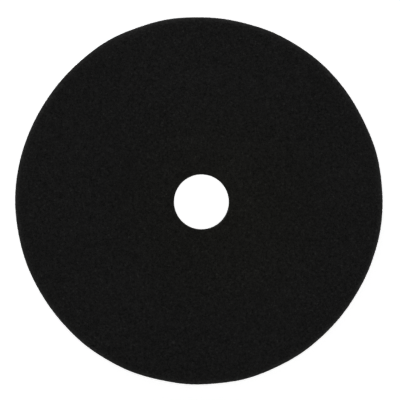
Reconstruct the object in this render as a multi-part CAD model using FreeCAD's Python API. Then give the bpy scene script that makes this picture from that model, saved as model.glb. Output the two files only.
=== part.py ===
"""Foam finishing pad for a dual-action polisher: a tapered foam disc with a centre hole,
laminated to a loop-faced backing cloth that grips the hooks of a backing plate.

The pad lies on its loops with the polishing face up. The origin is the centre of the loop
face, +Z points out of the polishing face, and one centre hole is punched through every layer.
"""

import FreeCAD
import Part
import math
import os

# Foam disc
face_diameter = 165.0  # the widest outline, across the rounded rim of the polishing face
foam_thickness = 23.0
foam_overhang = 3.0  # foam that stands out past the backing cloth, all round
face_rim_radius = 2.6  # rounding where the polishing face meets the wall
back_rim_radius = 1.0  # rounding where the wall meets the bonded back
hole_lip_radius = 0.6  # rounding of the hole's mouth in the polishing face

# Centre hole, punched through every layer
hole_diameter = 25.0

# Hot-melt film that bonds the cloth to the foam
film_thickness = 0.25
film_setback = 0.4  # the film stops this far inside the edge of the cloth

# Loop-faced cloth
backing_diameter = 150.0
ground_thickness = 0.55  # knitted ground that carries the loops
fused_thickness = 0.35  # the same ground where heat has fused it bare, at its two edges
outer_fused_width = 1.5
hole_fused_width = 1.0
pile_height = 1.6
pile_edge_radius = 0.5  # the loops lean away at the edges of the pile

# Radii that follow from the sizes
face_radius = face_diameter / 2
hole_radius = hole_diameter / 2
backing_radius = backing_diameter / 2
foam_back_radius = backing_radius + foam_overhang
film_radius = backing_radius - film_setback
pile_outer_radius = backing_radius - outer_fused_width
pile_inner_radius = hole_radius + hole_fused_width

# Heights of the layers, from the loop face up
pile_top = pile_height
ground_top = pile_top + ground_thickness
fused_bottom = ground_top - fused_thickness
film_top = ground_top + film_thickness
foam_top = film_top + foam_thickness

FULL_TURN = 360
ORIGIN = FreeCAD.Vector(0, 0, 0)
UP = FreeCAD.Vector(0, 0, 1)


def place(radius, height):
    """A point of a profile in the XZ plane."""
    return FreeCAD.Vector(radius, 0, height)


def on_circle(centre, radius, angle):
    """The point of a circle in the XZ plane at an angle, in radians above +X."""
    return centre + radius * FreeCAD.Vector(math.cos(angle), 0, math.sin(angle))


def corner(centre, radius, start, end):
    """A rounded corner: the arc of a circle between two angles."""
    middle = (start + end) / 2
    points = [on_circle(centre, radius, angle) for angle in (start, middle, end)]
    return Part.Arc(*points).toShape()


def straight(start, end):
    """A straight edge of a profile."""
    return Part.LineSegment(start, end).toShape()


def turned(edges):
    """The solid that a profile sweeps round the Z axis, with its gaps closed by straight lines."""
    outline = []
    for edge, after in zip(edges, edges[1:] + edges[:1]):
        outline.append(edge)
        end, start = edge.lastVertex().Point, after.firstVertex().Point
        if end.distanceToPoint(start) > 1e-6:
            outline.append(straight(end, start))
    face = Part.Face(Part.Wire(outline))
    return face.revolve(ORIGIN, UP, FULL_TURN)


def ring(outer_radius, inner_radius, bottom, top):
    """A flat ring about the Z axis, between two heights."""
    inner_wall = straight(place(inner_radius, top), place(inner_radius, bottom))
    outer_wall = straight(place(outer_radius, bottom), place(outer_radius, top))
    return turned([inner_wall, outer_wall])


def wall_lean(face_corner, back_corner):
    """The angle above +X at which the foam's wall faces, where it touches both rounded rims."""
    between = face_corner - back_corner
    along = math.atan2(between.z, between.x)
    return along - math.acos((back_rim_radius - face_rim_radius) / between.Length)


def foam_disc():
    """Foam that tapers from the wide polishing face to the bonded back."""
    lip_centre = place(hole_radius + hole_lip_radius, foam_top - hole_lip_radius)
    face_corner = place(face_radius - face_rim_radius, foam_top - face_rim_radius)
    back_corner = place(foam_back_radius - back_rim_radius, film_top + back_rim_radius)
    lean = wall_lean(face_corner, back_corner)
    foot = place(hole_radius, film_top)
    hole_wall = straight(foot, place(hole_radius, lip_centre.z))
    lip = corner(lip_centre, hole_lip_radius, math.pi, math.pi / 2)
    face_rim = corner(face_corner, face_rim_radius, math.pi / 2, lean)
    back_rim = corner(back_corner, back_rim_radius, lean, -math.pi / 2)
    return turned([hole_wall, lip, face_rim, back_rim])


def adhesive_film():
    """Hot-melt film between the foam and the cloth."""
    return ring(film_radius, hole_radius, ground_top, film_top)


def loop_ground_cloth():
    """Knitted ground, fused thin and bare along its outer edge and round the hole."""
    fused = ring(backing_radius, hole_radius, fused_bottom, ground_top)
    knitted = ring(pile_outer_radius, pile_inner_radius, pile_top, ground_top)
    return fused.fuse(knitted).removeSplitter()


def loop_pile():
    """The space that the standing loops fill."""
    outer_corner = place(pile_outer_radius - pile_edge_radius, pile_edge_radius)
    inner_corner = place(pile_inner_radius + pile_edge_radius, pile_edge_radius)
    outer = corner(outer_corner, pile_edge_radius, -math.pi / 2, 0)
    inner = corner(inner_corner, pile_edge_radius, math.pi, 3 * math.pi / 2)
    outer_wall = straight(outer.lastVertex().Point, place(pile_outer_radius, pile_top))
    inner_wall = straight(place(pile_inner_radius, pile_top), inner.firstVertex().Point)
    return turned([outer, outer_wall, inner_wall, inner])


layers = {
    "foam_disc": foam_disc(),
    "adhesive_film": adhesive_film(),
    "loop_ground_cloth": loop_ground_cloth(),
    "loop_pile": loop_pile(),
}

os.makedirs("parts", exist_ok=True)
for name, shape in layers.items():
    assert shape.isValid() and len(shape.Solids) == 1, name
    solid = shape.Solids[0]
    solid.exportStep(f"parts/{name}.step")
    box = solid.BoundBox
    print(f"{name}: {solid.Volume / 1000:.2f} cm3, {box.ZLength:.2f} mm thick, up to {box.ZMax:.2f} mm")
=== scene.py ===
"""Foam finishing pad: the foam's open cells, the glue line, and the knitted loop cloth on its back.

Everything is in metres. The pad lies on its loops about the Z axis, with the polishing face up.
"""

import math

import bpy
import numpy as np
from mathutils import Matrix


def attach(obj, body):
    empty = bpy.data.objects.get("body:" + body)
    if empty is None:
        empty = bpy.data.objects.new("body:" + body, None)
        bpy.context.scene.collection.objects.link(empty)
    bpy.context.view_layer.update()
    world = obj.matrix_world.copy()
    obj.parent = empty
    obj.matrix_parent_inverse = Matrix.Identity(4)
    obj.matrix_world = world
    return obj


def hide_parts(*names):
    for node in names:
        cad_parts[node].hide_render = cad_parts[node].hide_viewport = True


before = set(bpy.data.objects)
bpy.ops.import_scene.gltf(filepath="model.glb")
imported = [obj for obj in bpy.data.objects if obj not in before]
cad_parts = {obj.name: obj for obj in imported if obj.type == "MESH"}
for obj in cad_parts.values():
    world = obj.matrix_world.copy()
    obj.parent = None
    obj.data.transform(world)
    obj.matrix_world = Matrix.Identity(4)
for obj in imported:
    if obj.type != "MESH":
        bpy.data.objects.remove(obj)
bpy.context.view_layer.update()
mm = 0.001
full_turn = 2 * np.pi
chance = np.random.default_rng(165)


# Sizes read from the CAD pieces


def reach(node):
    """The smallest and largest distance from the Z axis of a CAD node's points, and its lowest
    and highest Z."""
    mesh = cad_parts[node].data
    places = np.empty(len(mesh.vertices) * 3, np.float32)
    mesh.vertices.foreach_get("co", places)
    x, y, z = places.reshape(-1, 3).T
    out = np.hypot(x, y)
    return float(out.min()), float(out.max()), float(z.min()), float(z.max())


hole_radius, face_radius, foam_low, foam_high = reach("foam_disc")
_, film_radius, film_low, film_high = reach("adhesive_film")
_, cloth_radius, _, cloth_high = reach("loop_ground_cloth")
pile_inner, pile_outer, pile_low, pile_high = reach("loop_pile")

foam_overhang = 3.0 * mm  # foam that stands out past the cloth, all round
face_rim = 2.6 * mm  # rounding where the face meets the wall
back_rim = 1.0 * mm  # rounding where the wall meets the bonded back
hole_lip = 0.6 * mm  # rounding of the hole's mouth
fused_thickness = 0.35 * mm  # the cloth's ground where heat has fused it bare
foam_back_radius = cloth_radius + foam_overhang
fused_low = cloth_high - fused_thickness


# Numbers


def smooth_step(x, start, end):
    """0 before start, 1 after end, and 3t^2 - 2t^3 of the way t in between."""
    t = np.clip((x - start) / (end - start), 0, 1)
    return t * t * (3 - 2 * t)


def slow_waves(x, y, length, count=9, seed=1):
    """The sum of sine waves that cross the plane in random directions, each about length long,
    scaled so that it stays mostly between -1 and 1."""
    pick = np.random.default_rng(seed)
    turn = pick.uniform(0, full_turn, count)
    start = pick.uniform(0, full_turn, count)
    rate = full_turn / (length * pick.uniform(0.7, 1.5, count))
    total = np.zeros(np.shape(x))
    for a, b, k in zip(turn, start, rate):
        total += np.sin(k * (x * np.cos(a) + y * np.sin(a)) + b)
    return total / math.sqrt(count / 2) / 1.6


def edge_wander(angle, seed, fewest, most):
    """A round edge's small unevenness: sines of fewest to most waves round the circle, with
    random starts, each as strong as one over its number of waves."""
    pick = np.random.default_rng(seed)
    total = np.zeros(np.shape(angle))
    for waves in range(fewest, most + 1):
        total += np.sin(waves * angle + pick.uniform(0, full_turn)) / waves
    return total


def round_waves(angle, *waves):
    """The sum of cosines round the circle, each given as its number of waves, size and start."""
    return sum(size * np.cos(number * angle + start) for number, size, start in waves)


# Turned surfaces


def arc(centre, radius, start, end, spacing):
    """Points along a circle between two angles, about spacing apart."""
    steps = max(3, round(abs(end - start) * radius / spacing))
    angle = np.linspace(start, end, steps + 1)
    return np.stack([centre[0] + radius * np.cos(angle), centre[1] + radius * np.sin(angle)], 1)


def line(start, end, spacing):
    """Points from start to end, about spacing apart, without the two ends."""
    steps = max(2, round(math.dist(start, end) / spacing))
    t = np.linspace(0, 1, steps + 1)[1:-1, None]
    return np.array(start) * (1 - t) + np.array(end) * t


def rings(radius, height, counts):
    """Points on circles about the Z axis, one circle for each radius and height. Returns each
    point's ring, angle, distance from the axis and height."""
    ring = np.repeat(np.arange(len(counts)), counts)
    first = (np.cumsum(counts) - counts)[ring]
    angle = full_turn * (np.arange(len(ring)) - first) / counts[ring]
    return ring, angle, radius[ring], height[ring]


def ring_faces(counts):
    """Faces between rings of points, the last ring joined to the first. Rings with as many
    points get quads. Between a ring of n and one of 2n, each step of the first ring gets three
    triangles. Each ring's points are numbered on from the ring before. The faces point outwards
    when the rings run clockwise round the section, with the axis on the left."""
    starts = np.cumsum(counts) - counts
    quads, thirds = [], []
    for ring, (here, start) in enumerate(zip(counts, starts)):
        after = (ring + 1) % len(counts)
        there, base = counts[after], starts[after]
        n = min(here, there)
        k = np.arange(n)
        if here == there:
            a, b = start + k, start + (k + 1) % n
            c, d = base + (k + 1) % n, base + k
            quads.append(np.stack([d, c, b, a], 1))
            continue
        few, many = (start, base) if here < there else (base, start)
        a, b = few + k, few + (k + 1) % n
        c, d, e = many + 2 * k, many + 2 * k + 1, many + (2 * k + 2) % (2 * n)
        fans = [np.stack(t, 1) for t in ((c, d, a), (d, b, a), (d, e, b))]
        if here > there:
            fans = [f[:, ::-1] for f in fans]
        thirds += fans
    return [np.concatenate(f) for f in (quads, thirds) if f]


# Flat maps: where each face corner lies when a surface is laid out on a square of side 1.
# A patch's scale is the share of that side that a metre takes.


def way_along(radius, height):
    """How far each ring lies along the section from the first, and the whole way round."""
    gaps = np.hypot(np.roll(radius, -1) - radius, np.roll(height, -1) - height)
    return np.cumsum(gaps) - gaps, gaps.sum()


def lay_disc(turn, come, centre, scale, start, side=1):
    """A flat disc: the angle stays, and the radius is start plus the way come. An underside,
    whose side is -1, runs inwards and is turned over."""
    out = (start + side * come) * scale
    return np.stack([centre[0] + out * np.cos(turn), centre[1] + side * out * np.sin(turn)], 2)


def lay_wall(turn, come, corner, scale, radius, row):
    """A round wall as two strips, row apart, each half a turn long. A strip's length is the
    angle left to its end times the radius, and its width is the way come."""
    lead = turn[:, :1] % full_turn
    half = np.floor(lead / np.pi)
    left = (half + 1) * np.pi - lead - (turn - turn[:, :1])
    across = come * scale + half * row
    return np.stack([corner[0] + left * radius * scale, corner[1] + across], 2)


def flat_map(counts, faces, angle, way, whole_way, patches):
    """Lays a turned surface out in patches. Each patch is its last ring, the function that lays
    it, and that function's settings. way is how far each point lies along the section."""
    ring = np.repeat(np.arange(len(counts)), counts)
    places = []
    for face in faces:
        first_ring = ring[face].min(1)
        closing = ring[face].max(1) - first_ring > 1  # from the last ring back to the first
        come = way[face] + np.where(closing[:, None] & (ring[face] == 0), whole_way, 0)
        first_ring = np.where(closing, len(counts) - 1, first_ring)
        lead = angle[face[:, :1]]
        turn = lead + (angle[face] - lead + np.pi) % full_turn - np.pi
        place = np.empty(face.shape + (2,))
        next_ring = 0
        for last_ring, lay, settings in patches:
            mine = (first_ring >= next_ring) & (first_ring <= last_ring)
            patch_start = way[np.searchsorted(ring, next_ring)]
            place[mine] = lay(turn[mine], come[mine] - patch_start, **settings)
            next_ring = last_ring + 1
        places.append(place.reshape(-1, 2))
    return np.concatenate(places)


# Pieces


def make_piece(name, points, faces, finish, corners_laid=None, smooth=True):
    """A mesh object from an array of points and a list of face arrays, one array for each
    number of corners. corners_laid is where each face corner lies on the flat map."""
    mesh = bpy.data.meshes.new(name)
    corners = np.concatenate([f.ravel() for f in faces]).astype(np.int32)
    sizes = np.concatenate([np.full(len(f), f.shape[1], np.int32) for f in faces])
    mesh.vertices.add(len(points))
    mesh.vertices.foreach_set("co", points.astype(np.float32).ravel())
    mesh.loops.add(len(corners))
    mesh.loops.foreach_set("vertex_index", corners)
    mesh.polygons.add(len(sizes))
    mesh.polygons.foreach_set("loop_start", (np.cumsum(sizes) - sizes).astype(np.int32))
    mesh.polygons.foreach_set("use_smooth", np.full(len(sizes), smooth))
    mesh.update(calc_edges=True)
    if corners_laid is not None:
        layer = mesh.uv_layers.new(name="OFBake", do_init=False)
        layer.uv.foreach_set("vector", corners_laid.astype(np.float32).ravel())
    piece = bpy.data.objects.new(name, mesh)
    bpy.context.scene.collection.objects.link(piece)
    mesh.materials.append(finish)
    return piece


def give_values(piece, name, values):
    """Stores one number for each point of a piece, for its finish to read."""
    values = np.asarray(values, np.float32)
    piece.data.attributes.new(name, "FLOAT", "POINT").data.foreach_set("value", values)


def turned_points(angle, out, up):
    """Points from their angles about the Z axis, distances from it and heights."""
    return np.stack([out * np.cos(angle), out * np.sin(angle), up], 1)


# Foam disc

cell = 0.4 * mm  # between two points of the foam's mesh
first_ring = 324  # points on each ring round the hole
doubled_past = (29 * mm, 58 * mm)  # the radii past which a ring has twice as many points
outline_shift = (-1.13 * mm, 0.55 * mm)  # how far the outline stands off the hole's centre


def foam_profile():
    """The disc's section as points (radius, height): up the hole, round its lip, out across the
    face, round the rim, down the leaning wall, round the back rim and in to the hole again.
    The wall is the straight line that touches both rims. Points are a cell apart where the foam
    shows, and further where the film covers it."""
    lip_centre = (hole_radius + hole_lip, foam_high - hole_lip)
    face_centre = (face_radius - face_rim, foam_high - face_rim)
    back_centre = (foam_back_radius - back_rim, foam_low + back_rim)
    across, up = face_centre[0] - back_centre[0], face_centre[1] - back_centre[1]
    lean = math.atan2(up, across) - math.acos((back_rim - face_rim) / math.hypot(across, up))
    lip = arc(lip_centre, hole_lip, math.pi, math.pi / 2, 0.3 * mm)
    rim = arc(face_centre, face_rim, math.pi / 2, lean, cell)
    heel = arc(back_centre, back_rim, lean, -math.pi / 2, cell)
    foot = (hole_radius, foam_low)
    bonded = (film_radius - 0.5 * mm, foam_low)
    stretches = [
        [foot],
        line(foot, lip[0], cell),
        lip,
        line(lip[-1], rim[0], cell),
        rim,
        line(rim[-1], heel[0], cell),
        heel,
        line(heel[-1], bonded, cell),
        [bonded],
        line(bonded, foot, 6 * mm),
    ]
    return np.concatenate(stretches)


def foam_strays(angle, out, up):
    """How far the cut foam strays from a true turned disc, in mm: the face's swell, and the
    way outwards. The face has slow waves and rolls down to its rim, the wall leans in and out,
    the outline has mostly two, four and six waves, and the hole's mouth two, three and four."""
    x, y = out * np.cos(angle), out * np.sin(angle)
    level = (up - foam_low) / (foam_high - foam_low)
    on_face = smooth_step(up, foam_high - 3 * mm, foam_high)
    on_wall = smooth_step(out, 70 * mm, 76 * mm)
    near_hole = 1 - smooth_step(out, hole_radius, 20 * mm)

    swell = 0.10 * slow_waves(x, y, 34 * mm, seed=3) + 0.05 * slow_waves(x, y, 11 * mm, seed=4)
    rolled = 0.40 * smooth_step(out, 76.5 * mm, face_radius)
    lean = 0.12 * slow_waves(angle * face_radius, up * 2.5, 26 * mm, seed=5)
    outline = round_waves(angle, (6, 0.14, 0.55), (2, 0.10, -2.6), (4, 0.09, -0.55))
    outline += 0.03 * edge_wander(angle, 8, 7, 39)
    mouth = round_waves(angle, (4, 0.08, -2.9), (3, 0.07, 1.7), (2, 0.07, 1.8))
    mouth += 0.03 * edge_wander(angle, 9, 5, 29)

    outwards = on_wall * (lean * level + outline * smooth_step(level, 0, 0.5))
    outwards += mouth * near_hole * smooth_step(level, 0.3, 1)
    return on_face * (swell - rolled), outwards


def foam_map(radius, height, counts, faces, angle, slide):
    """The foam laid flat: the hole's wall and the outer wall with the back rim as strips, the
    face as a large disc, and the bonded back, which the film hides, as a small one."""
    ring_way, whole_way = way_along(radius, height)
    lip_end = np.argmax(height >= foam_high - 1e-9)
    past_rim = (radius > face_radius - face_rim) & (height < foam_high - face_rim - 0.2 * mm)
    rim_end = np.argmax(past_rim)
    hidden = (height < foam_low + 1e-9) & (radius < film_radius) & (radius > hole_radius + mm)
    shown_end = np.argmax(hidden)
    wall_radius = face_radius - 2 * mm
    hole_wall = {"corner": (0.785, 0.26), "scale": 3.6, "radius": hole_radius, "row": 0.105}
    face = {"centre": (0.388, 0.610), "scale": 4.45, "start": radius[lip_end]}
    wall = {"corner": (0.008, 0.008), "scale": 3.86, "radius": wall_radius, "row": 0.107}
    bonded_back = {"centre": (0.90, 0.92), "scale": 0.9, "start": film_radius, "side": -1}
    patches = [
        (lip_end - 1, lay_wall, hole_wall),
        (rim_end - 1, lay_disc, face),
        (shown_end - 1, lay_wall, wall),
        (len(counts) - 1, lay_disc, bonded_back),
    ]
    way = np.repeat(ring_way, counts) + slide
    return flat_map(counts, faces, angle, way, whole_way, patches)


def foam_disc(finish):
    """The disc: foam_profile turned about the Z axis on rings whose number of points doubles
    as they grow. Each point then moves a little along and across the surface, out by random
    cell walls and in by open cells, and strays as foam_strays says. The outline's shift off
    the hole's centre fades towards the hole and the back."""
    profile = foam_profile()
    radius, height = profile.T
    counts = first_ring * 2 ** np.searchsorted(doubled_past, radius)
    ring, angle, out, up = rings(radius, height, counts)
    along = np.roll(profile, -1, 0) - np.roll(profile, 1, 0)
    along /= np.linalg.norm(along, axis=1)[:, None]
    along_out, along_up = along[ring].T
    shows = np.where((up < foam_low + 1e-6) & (out < film_radius), 0.0, 1.0)

    # sideways moves break up the rings' even spacing, but not where the section turns sharply
    sideways = 0.28 * shows
    angle = angle + sideways * chance.uniform(-1, 1, len(ring)) * full_turn / counts[ring]
    slide = sideways * chance.uniform(-1, 1, len(ring)) * cell
    turns_sharply = np.abs(np.roll(along, 1, 0) - along).sum(1) > 0.05
    slide = np.where(turns_sharply[ring], 0, slide)

    cell_walls = chance.normal(0, 0.035, len(ring))
    is_open = chance.random(len(ring)) < 0.02
    open_cells = shows * np.where(is_open, chance.uniform(0.1, 0.26, len(ring)), 0)
    proud = (shows * cell_walls - open_cells) * mm

    swell, outwards = foam_strays(angle, out, up)
    level = (up - foam_low) / (foam_high - foam_low)
    out = out + along_out * slide - along_up * proud
    swell = swell * smooth_step(out, hole_radius, 20 * mm)
    up = up + along_up * slide + along_out * proud + swell * mm
    out = out + outwards * mm
    points = turned_points(angle, out, up)
    shifted = smooth_step(out, 18 * mm, 74 * mm) * smooth_step(level, 0, 1)
    points[:, :2] += shifted[:, None] * outline_shift

    faces = ring_faces(counts)
    laid = foam_map(radius, height, counts, faces, angle, slide)
    piece = make_piece("foam_disc_cells", points, faces, finish, laid)
    give_values(piece, "open_cell", open_cells * 4)  # 1 where a cell is 0.25 mm deep
    return piece


# Glue film


def glue_film(finish):
    """The hot-melt film: a flat ring whose two edges bulge between the foam and the cloth. Its
    section is a rounded slot, and its outer edge wanders in and out."""
    middle = (film_low + film_high) / 2
    half = (film_high - film_low) / 2
    turn = np.linspace(-np.pi / 2, np.pi / 2, 7)
    outer = film_radius - 0.3 * mm + 0.22 * mm * np.cos(turn)
    inner = hole_radius + 0.25 * mm - 0.2 * mm * np.cos(turn)
    radius = np.concatenate([outer, inner])
    height = middle + half * np.concatenate([np.sin(turn), -np.sin(turn)])
    points_round = 648
    counts = np.full(len(radius), points_round)
    ring, angle, out, up = rings(radius, height, counts)
    wander = 0.05 * edge_wander(angle, 21, 5, 59) + 0.02
    out = out + (out > 40 * mm) * wander * mm
    # this section runs anticlockwise, so its faces are turned over
    faces = [f[:, ::-1] for f in ring_faces(counts)]
    return make_piece("adhesive_film_bead", turned_points(angle, out, up), faces, finish)


# Loop cloth

row_pitch = 1.15 * mm  # from one row of loops to the next
thread = 0.10 * mm  # half a loop's thickness
path_points = 9  # along each loop
tube_sides = 3
loop_points = tube_sides * path_points


def cloth_section():
    """The ground's section, out along its flat top and in along its underside, which is thin at
    the two fused edges and full between them. Also the number of points on the top."""
    top_radius = [hole_radius + 0.05 * mm, 40 * mm, 60 * mm, cloth_radius - 0.1 * mm, cloth_radius]
    top = np.array([cloth_high] * 4 + [cloth_high - 0.08 * mm])
    stretches = [
        [cloth_radius, cloth_radius - 0.02 * mm],
        np.linspace(cloth_radius - 0.12 * mm, pile_outer, 6),
        np.linspace(pile_outer - 0.25 * mm, pile_inner + 0.25 * mm, 132),
        np.linspace(pile_inner, hole_radius + 0.06 * mm, 5),
        [hole_radius + 0.05 * mm],
    ]
    under_radius = np.concatenate(stretches)
    full = (under_radius > pile_inner) & (under_radius < pile_outer)
    under = np.where(full, pile_high, fused_low)
    under[[0, -1]] = fused_low + 0.1 * mm
    return np.concatenate([top_radius, under_radius]), np.concatenate([top, under]), len(top)


def ground_cloth(finish):
    """The knitted ground: a ring, thin where heat has fused it bare along its two edges and
    thicker under the loops. Its underside has one low ridge for each row of loops, a cosine
    across the rows, broken up by a slower cosine along them."""
    radius, height, top_count = cloth_section()
    points_round = 640
    counts = np.full(len(radius), points_round)
    ring, angle, out, up = rings(radius, height, counts)
    x, y = out * np.cos(angle), out * np.sin(angle)
    underside = up < cloth_high - 0.2 * mm
    knitted = underside * smooth_step(out, pile_inner, pile_inner + 0.6 * mm)
    knitted = knitted * (1 - smooth_step(out, pile_outer - 0.6 * mm, pile_outer))
    across_rows = np.cos(full_turn * x / row_pitch)
    ridges = across_rows * (0.7 + 0.3 * np.cos(full_turn * y / (2 * row_pitch)))
    ridges = 0.07 * mm * (ridges + 0.3 * slow_waves(x, y, 4 * mm, seed=31))
    crinkle = 0.02 * mm * slow_waves(x, y, 1.6 * mm, 14, seed=32)
    up = up + knitted * ridges + underside * (1 - knitted) * crinkle
    out = out + (out > 60 * mm) * 0.06 * mm * edge_wander(angle, 33, 3, 39)

    faces = ring_faces(counts)
    ring_way, whole_way = way_along(radius, height)
    hidden_top = {"centre": (0.07, 0.07), "scale": 0.8, "start": hole_radius}
    underneath = {"centre": (0.5, 0.5), "scale": 6.2, "start": cloth_radius + 0.6 * mm, "side": -1}
    patches = [(top_count - 2, lay_disc, hidden_top), (len(counts) - 1, lay_disc, underneath)]
    laid = flat_map(counts, faces, angle, ring_way[ring], whole_way, patches)
    points = turned_points(angle, out, up)
    piece = make_piece("loop_ground_knit", points, faces, finish, laid)
    give_values(piece, "fused", 1 - knitted)
    return piece


def loop_feet():
    """The middle of each loop's two feet, on rows along Y that are half a stitch apart by turns."""
    rows = np.arange(-pile_outer, pile_outer, row_pitch)
    x, y = (a.ravel() for a in np.meshgrid(rows, rows, indexing="ij"))
    y = y + 0.5 * row_pitch * (np.round((x + pile_outer) / row_pitch) % 2)
    x = x + chance.normal(0, 0.07 * mm, len(x))
    y = y + chance.normal(0, 0.1 * mm, len(y))
    out = np.hypot(x, y)
    room = (out > pile_inner + 0.45 * mm) & (out < pile_outer - 0.4 * mm)
    return x[room], y[room], out[room]


def loop_paths():
    """Each loop's middle line, and the direction in which the loop runs. It leaves the ground,
    arches down to the loop face as the 0.65th power of a sine, and comes back a stitch or two
    on, and it leans by the same arch. Loops turn a little out of their row."""
    x, y, out = loop_feet()
    count = len(x)
    span = row_pitch * chance.uniform(1.1, 2.1, count)
    tall = (pile_high - pile_low - 1.2 * thread) * chance.uniform(0.62, 1.0, count)
    edge = np.minimum(out - pile_inner, pile_outer - out)
    tall *= 0.7 + 0.3 * smooth_step(edge, 0.3 * mm, 1.8 * mm)
    brushed_turn = 0.5 * slow_waves(x, y, 14 * mm, seed=42)
    turn = np.pi / 2 + chance.normal(0, 0.55, count) + brushed_turn
    ahead = np.stack([np.cos(turn), np.sin(turn)], 1)
    brushed = 0.30 * mm * slow_waves(x, y, 9 * mm, seed=41)
    lean_x = brushed + chance.normal(0, 0.25 * mm, count)
    lean_y = 0.2 * mm + chance.normal(0, 0.25 * mm, count)

    t = np.linspace(0, 1, path_points)
    arch = np.sin(np.pi * t) ** 0.65
    foot = np.stack([x, y], 1)[:, None]
    lean = np.stack([lean_x, lean_y], 1)[:, None] * arch[:, None]
    along = (span[:, None] * (t - 0.5))[:, :, None] * ahead[:, None]
    root = 0.08 * mm  # how deep the feet stand in the ground
    down = pile_high + root - (tall[:, None] + root) * arch
    path = np.concatenate([foot + lean + along, down[:, :, None]], 2)
    # no loop leaves the ring of pile
    far = np.hypot(path[..., 0], path[..., 1])
    keep = np.clip(far, pile_inner + thread, pile_outer - thread) / far
    path[..., :2] *= keep[..., None]
    return path, ahead


def thread_tubes(path, ahead):
    """Three-sided tubes along the paths: each point of a path gets a triangle that stands
    square to it, with its corners about thread from the middle line."""
    count = len(path)
    tangent = np.gradient(path, axis=1)
    tangent /= np.linalg.norm(tangent, axis=2, keepdims=True)
    level = np.stack([ahead[:, 1], -ahead[:, 0], np.full(count, 0.1)], 1)
    side = np.cross(tangent, level[:, None])
    side /= np.linalg.norm(side, axis=2, keepdims=True)
    other = np.cross(tangent, side)
    around = (np.arange(tube_sides) * full_turn / tube_sides)[:, None]
    radius = thread * chance.uniform(0.8, 1.15, count)[:, None, None, None]
    corners = side[:, :, None] * np.cos(around) + other[:, :, None] * np.sin(around)
    return path[:, :, None] + radius * corners


def standing_loops(finish):
    """The nylon loops, in four pieces. Each is a tube of 24 quads with a triangle at each end.
    On the flat map each loop has a square of its own, with the tube's three sides next to each
    other and its ends above them."""
    path, ahead = loop_paths()
    count = len(path)
    points = thread_tubes(path, ahead).reshape(count, loop_points, 3)
    shade = np.repeat(chance.uniform(0, 1, count), loop_points).reshape(count, loop_points)

    step, corner = np.meshgrid(np.arange(path_points - 1), np.arange(tube_sides), indexing="ij")
    a, b = step * tube_sides + corner, step * tube_sides + (corner + 1) % tube_sides
    tube = np.stack([a, b, b + tube_sides, a + tube_sides], 2).reshape(-1, 4)
    ends = np.array([[2, 1, 0], [loop_points - 3, loop_points - 2, loop_points - 1]])
    tube_across = np.stack([corner, corner + 1, corner + 1, corner], 2) / 4
    tube_up = np.stack([step, step, step + 1, step + 1], 2) / 10
    tube_laid = np.stack([tube_across, tube_up], 3).reshape(-1, 2)
    end_laid = [[0, 0.88], [0.2, 0.88], [0, 0.95], [0.4, 0.88], [0.6, 0.88], [0.4, 0.95]]

    pieces = []
    for part, chosen in enumerate(np.array_split(np.arange(count), 4)):
        first = (np.arange(len(chosen)) * loop_points)[:, None, None]
        faces = [(first + f).reshape(-1, f.shape[1]) for f in (tube, ends)]
        squares = math.ceil(math.sqrt(len(chosen)))
        square = np.stack(np.divmod(np.arange(len(chosen)), squares), 1)[:, None] + 0.05
        laid = [(square + place).reshape(-1, 2) for place in (tube_laid, np.array(end_laid))]
        laid = np.concatenate(laid) / squares
        name = f"loop_rows_{part + 1}"
        piece = make_piece(name, points[chosen].reshape(-1, 3), faces, finish, laid)
        give_values(piece, "shade", shade[chosen].ravel())
        pieces.append(piece)
    return pieces


# Finishes


def join_numbers(tree, operation, *numbers):
    """Up to three numbers, or outputs that carry them, put together by a Math node."""
    node = tree.nodes.new("ShaderNodeMath")
    node.operation = operation
    for socket, number in zip(node.inputs, numbers):
        if isinstance(number, bpy.types.NodeSocket):
            tree.links.new(number, socket)
        else:
            socket.default_value = number
    return node.outputs[0]


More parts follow.
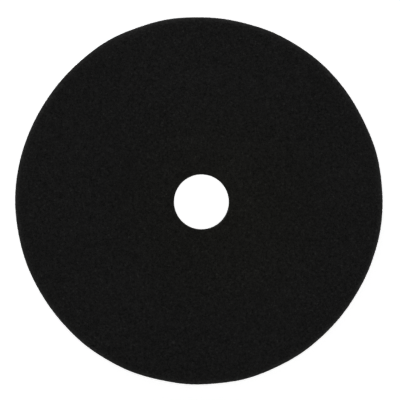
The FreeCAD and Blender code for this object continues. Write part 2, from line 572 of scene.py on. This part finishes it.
class Finish:
    """A material and short ways to add and join its nodes."""

    def __init__(self, name):
        self.material = bpy.data.materials.new(name)
        self.material.use_nodes = True
        self.tree = self.material.node_tree
        self.shader = self.tree.nodes["Principled BSDF"]

    def give(self, **sockets):
        """Sets the shader's sockets, each to a number or an output."""
        for name, value in sockets.items():
            self.put(self.shader.inputs[name.replace("_", " ")], value)

    def add(self, kind, settings=(), **sockets):
        node = self.tree.nodes.new("ShaderNode" + kind)
        for name, value in dict(settings).items():
            setattr(node, name, value)
        for name, value in sockets.items():
            self.put(node.inputs[name.replace("_", " ")], value)
        return node

    def put(self, socket, value):
        if isinstance(value, bpy.types.NodeSocket):
            self.tree.links.new(value, socket)
        else:
            socket.default_value = value

    def places(self):
        return self.add("TexCoord").outputs["Object"]

    def stored(self, name):
        return self.add("Attribute", {"attribute_name": name}).outputs["Fac"]

    def ramp(self, value, low, high, to_low=0.0, to_high=1.0):
        """A number carried evenly from the range low to high into to_low to to_high."""
        node = self.add("MapRange", {"clamp": True})
        for socket, number in zip(node.inputs, (value, low, high, to_low, to_high)):
            self.put(socket, number)
        return node.outputs[0]

    def sum(self, operation, *numbers):
        return join_numbers(self.tree, operation, *numbers)

    def vector(self, operation, *vectors):
        """Vectors put together by a Vector Math node."""
        node = self.add("VectorMath", {"operation": operation})
        for socket, value in zip(node.inputs, vectors):
            self.put(socket, value)
        return node.outputs["Value" if operation == "LENGTH" else "Vector"]

    def blend(self, amount, first, second, kind="MIX"):
        """Two colours mixed by an amount."""
        node = self.add("Mix", {"data_type": "RGBA", "blend_type": kind})
        self.put(node.inputs["Factor"], amount)
        self.put(node.inputs[6], first)
        self.put(node.inputs[7], second)
        return node.outputs[2]

    def noise(self, where, size, detail=2.0, roughness=0.5, output="Fac"):
        """Noise whose lumps are about size across."""
        node = self.add(
            "TexNoise", Vector=where, Scale=1 / size, Detail=detail, Roughness=roughness
        )
        return node.outputs[output]

    def wall_distance(self, where, size):
        """Random cells about size across: how near a point is to the wall between two."""
        kind = {"feature": "DISTANCE_TO_EDGE"}
        return self.add("TexVoronoi", kind, Vector=where, Scale=1 / size).outputs["Distance"]

    def cell_numbers(self, where, size):
        """The same kind of cells: a random number for each."""
        node = self.add("TexVoronoi", {"feature": "F1"}, Vector=where, Scale=1 / size)
        return self.add("SeparateColor", Color=node.outputs["Color"]).outputs[0]

    def bump(self, height, strength, distance):
        """A small relief, distance deep."""
        node = self.add("Bump", Strength=strength, Distance=distance, Height=height)
        self.give(Normal=node.outputs[0])


def grey(value, warm=0.0):
    """A grey whose red is stronger and whose blue is weaker by the share warm."""
    return (value * (1 + warm), value, value * (1 - warm), 1)


def foam_tint(f, where):
    """The dye's unevenness: a tone that drifts slowly, and a faint brown in the middle."""
    drift = f.ramp(f.noise(where, 36 * mm, 3.0), 0.3, 0.7, 0.95, 1.05)
    tone = f.add("CombineColor", Red=drift, Green=drift, Blue=drift).outputs[0]
    out = f.vector("LENGTH", f.vector("MULTIPLY_ADD", where, (1, 1, 0), (-11 * mm, 2.5 * mm, 0)))
    middle = f.ramp(out, 38 * mm, 58 * mm, 1.0, 0.0)
    near = f.ramp(out, 6 * mm, 44 * mm, 1.0, 0.0)
    brown = f.blend(near, (1, 1, 0.94, 1), (1.10, 1.09, 0.95, 1))
    return f.blend(1.0, f.blend(middle, (1, 1, 0.98, 1), brown), tone, "MULTIPLY")


def cell_foam():
    """Black open-cell foam: thin struts round cells whose hollows are painted dark as shade, finer
    cells inside them, patches where more or less of the struts shows, painted shade in the open
    cells and painted glints on a few cells."""
    f = Finish("black_open_cell_foam")
    where = f.places()
    bend = f.add("VectorMath", {"operation": "SCALE"}, Scale=0.35 * mm)
    f.put(bend.inputs[0], f.noise(where, 0.9 * mm, 1.0, output="Color"))
    bent = f.vector("ADD", where, bend.outputs[0])
    large = f.ramp(f.wall_distance(bent, 0.56 * mm), 0.02, 0.30)
    small = f.ramp(f.wall_distance(bent, 0.28 * mm), 0.02, 0.34)
    depth = f.sum("MULTIPLY", large, f.sum("ADD", f.sum("MULTIPLY", small, 0.6), 0.4))
    strut = f.sum("SUBTRACT", 1.0, depth)
    patch = f.ramp(f.noise(where, 1.0 * mm, 2.0, 0.6), 0.28, 0.78, 0.28, 0.86)
    lit = f.sum("MULTIPLY", strut, patch)
    # painted shade: cells pushed into the mesh are darkened further in colour
    lit = f.sum("MULTIPLY", lit, f.ramp(f.stored("open_cell"), 0, 1, 1.0, 0.45))
    # painted glints: about one cell in twenty-five gets a colour half again as bright
    painted_glint = f.sum("GREATER_THAN", f.cell_numbers(bent, 0.6 * mm), 0.96)
    lit = f.sum("MULTIPLY", lit, f.sum("MULTIPLY_ADD", painted_glint, 0.5, 1.0))
    # painted shade: the colour runs from near black deep in each cell's hollow to dark grey on the
    # struts, by the same depth that the bump uses; the patches are tone that differs at random
    colour = f.blend(lit, grey(0.0016), grey(0.0430))
    f.give(
        Base_Color=f.blend(1.0, colour, foam_tint(f, where), "MULTIPLY"),
        Roughness=f.ramp(strut, 0, 1, 0.95, 0.62),
        Specular_IOR_Level=0.04,
        Sheen_Weight=0.01,
        Sheen_Roughness=0.35,
    )
    f.bump(strut, 0.6, 0.12 * mm)
    return f.material


def hot_melt():
    """Set glue: slightly yellow, satin, with small lumps."""
    f = Finish("hot_melt_film")
    lumps = f.noise(f.places(), 0.8 * mm, 3.0)
    f.give(
        Base_Color=f.blend(lumps, grey(0.16, 0.12), grey(0.34, 0.10)),
        Roughness=f.ramp(lumps, 0.3, 0.7, 0.28, 0.5),
    )
    f.bump(lumps, 0.5, 0.06 * mm)
    return f.material


def ground_knit():
    """Charcoal knit: fine stitches across and along, and a darker, shinier skin where fused."""
    f = Finish("charcoal_ground_knit")
    where = f.places()
    split = f.add("SeparateXYZ", Vector=where)
    stitch = 0.38 * mm
    waves = []
    for axis in ("X", "Y"):
        phase = f.sum("MULTIPLY", split.outputs[axis], 2 * math.pi / stitch)
        waves.append(f.sum("COSINE", phase))
    stitches = f.ramp(f.sum("MULTIPLY", *waves), -1, 1)
    fuzz = f.noise(where, 0.25 * mm, 3.0, 0.6)
    knit = f.sum("ADD", f.sum("MULTIPLY", stitches, 0.6), f.sum("MULTIPLY", fuzz, 0.4))
    fused = f.stored("fused")
    yarn = f.blend(knit, grey(0.030), grey(0.110))
    skin = f.blend(f.noise(where, 0.7 * mm, 2.0), grey(0.030), grey(0.060))
    f.give(Base_Color=f.blend(fused, yarn, skin), Roughness=f.ramp(fused, 0, 1, 0.85, 0.42))
    f.bump(knit, 0.7, 0.08 * mm)
    return f.material


def loop_nylon():
    """Charcoal nylon thread: a soft gloss, with some loops lighter than others."""
    f = Finish("charcoal_loop_nylon")
    streak = f.noise(f.places(), 0.2 * mm, 2.0, 0.6)
    shade = f.sum("MULTIPLY", f.stored("shade"), 0.6)
    mixed = f.sum("ADD", shade, f.sum("MULTIPLY", streak, 0.4))
    f.give(
        Base_Color=f.blend(mixed, grey(0.055), grey(0.190)),
        Roughness=f.ramp(streak, 0.3, 0.7, 0.38, 0.58),
        Specular_IOR_Level=0.45,
        Sheen_Weight=0.15,
        Sheen_Roughness=0.4,
    )
    return f.material


# The pad

foam = foam_disc(cell_foam())
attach(foam, "root")
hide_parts("foam_disc")

film = glue_film(hot_melt())
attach(film, "root")
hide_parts("adhesive_film")

loops = standing_loops(loop_nylon())
for piece in loops:
    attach(piece, "root")
    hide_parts("loop_pile")

cloth = ground_cloth(ground_knit())
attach(cloth, "root")
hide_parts("loop_ground_cloth")


# Studio


def studio_floor():
    """A wide pale floor that glows a little, as a light table does, and most under the hole."""
    f = Finish("pale_floor")
    out = f.vector("LENGTH", f.places())
    f.give(
        Base_Color=grey(0.80),
        Roughness=0.9,
        Specular_IOR_Level=0.1,
        Emission_Color=grey(1.0),
        Emission_Strength=f.ramp(out, 16 * mm, 24 * mm, 1.0, 0.82),
    )
    half = 4.0
    corners = half * np.array([[-1, -1, 0], [1, -1, 0], [1, 1, 0], [-1, 1, 0]])
    floor = make_piece("floor", corners, [np.array([[0, 1, 2, 3]])], f.material, smooth=False)


def studio_room():
    """A pale room, brightest low down all round. Its strength is 0.2 overhead and grows with
    the fourth power of how near the horizon is, and it shows as plain white."""
    room = bpy.data.worlds.new("pale_room")
    room.use_nodes = True
    tree = room.node_tree
    direction = tree.nodes.new("ShaderNodeSeparateXYZ")
    facing = tree.nodes.new("ShaderNodeTexCoord").outputs["Generated"]
    tree.links.new(facing, direction.inputs[0])
    high = join_numbers(tree, "MAXIMUM", direction.outputs["Z"], 0.0)
    low = join_numbers(tree, "POWER", join_numbers(tree, "SUBTRACT", 1.0, high), 4.0)
    light = join_numbers(tree, "MULTIPLY_ADD", low, 2.08, 0.2)
    seen = tree.nodes.new("ShaderNodeLightPath").outputs["Is Camera Ray"]
    unseen = join_numbers(tree, "SUBTRACT", 1.0, seen)
    light = join_numbers(tree, "ADD", join_numbers(tree, "MULTIPLY", light, unseen), seen)
    tree.links.new(light, tree.nodes["Background"].inputs["Strength"])
    tree.nodes["Background"].inputs["Color"].default_value = (1, 1, 1, 1)
    bpy.context.scene.world = room


def studio_lamp():
    """One large soft lamp, behind the pad on the left."""
    lamp = bpy.data.lights.new("soft_lamp", "AREA")
    lamp.shape, lamp.size, lamp.energy = "DISK", 0.8, 2.2
    holder = bpy.data.objects.new("soft_lamp", lamp)
    holder.location = (-0.36, 0.90, 0.50)
    holder.rotation_mode = "QUATERNION"
    holder.rotation_quaternion = holder.location.to_track_quat("Z", "Y")
    bpy.context.scene.collection.objects.link(holder)


def studio_camera():
    """Straight above the face, from far enough that the hole's wall hardly shows."""
    lens = bpy.data.cameras.new("camera")
    lens.lens, lens.sensor_width = 240, 36
    lens.clip_start, lens.clip_end = 0.01, 100
    view_width = 179.36 * mm
    distance = view_width * lens.lens / lens.sensor_width
    camera = bpy.data.objects.new("camera", lens)
    camera.location = (-0.64 * mm, 0.85 * mm, foam_high + distance)
    bpy.context.scene.collection.objects.link(camera)
    bpy.context.scene.camera = camera


studio_floor()
studio_room()
studio_lamp()
studio_camera()
bpy.context.scene.view_settings.view_transform = "Standard"
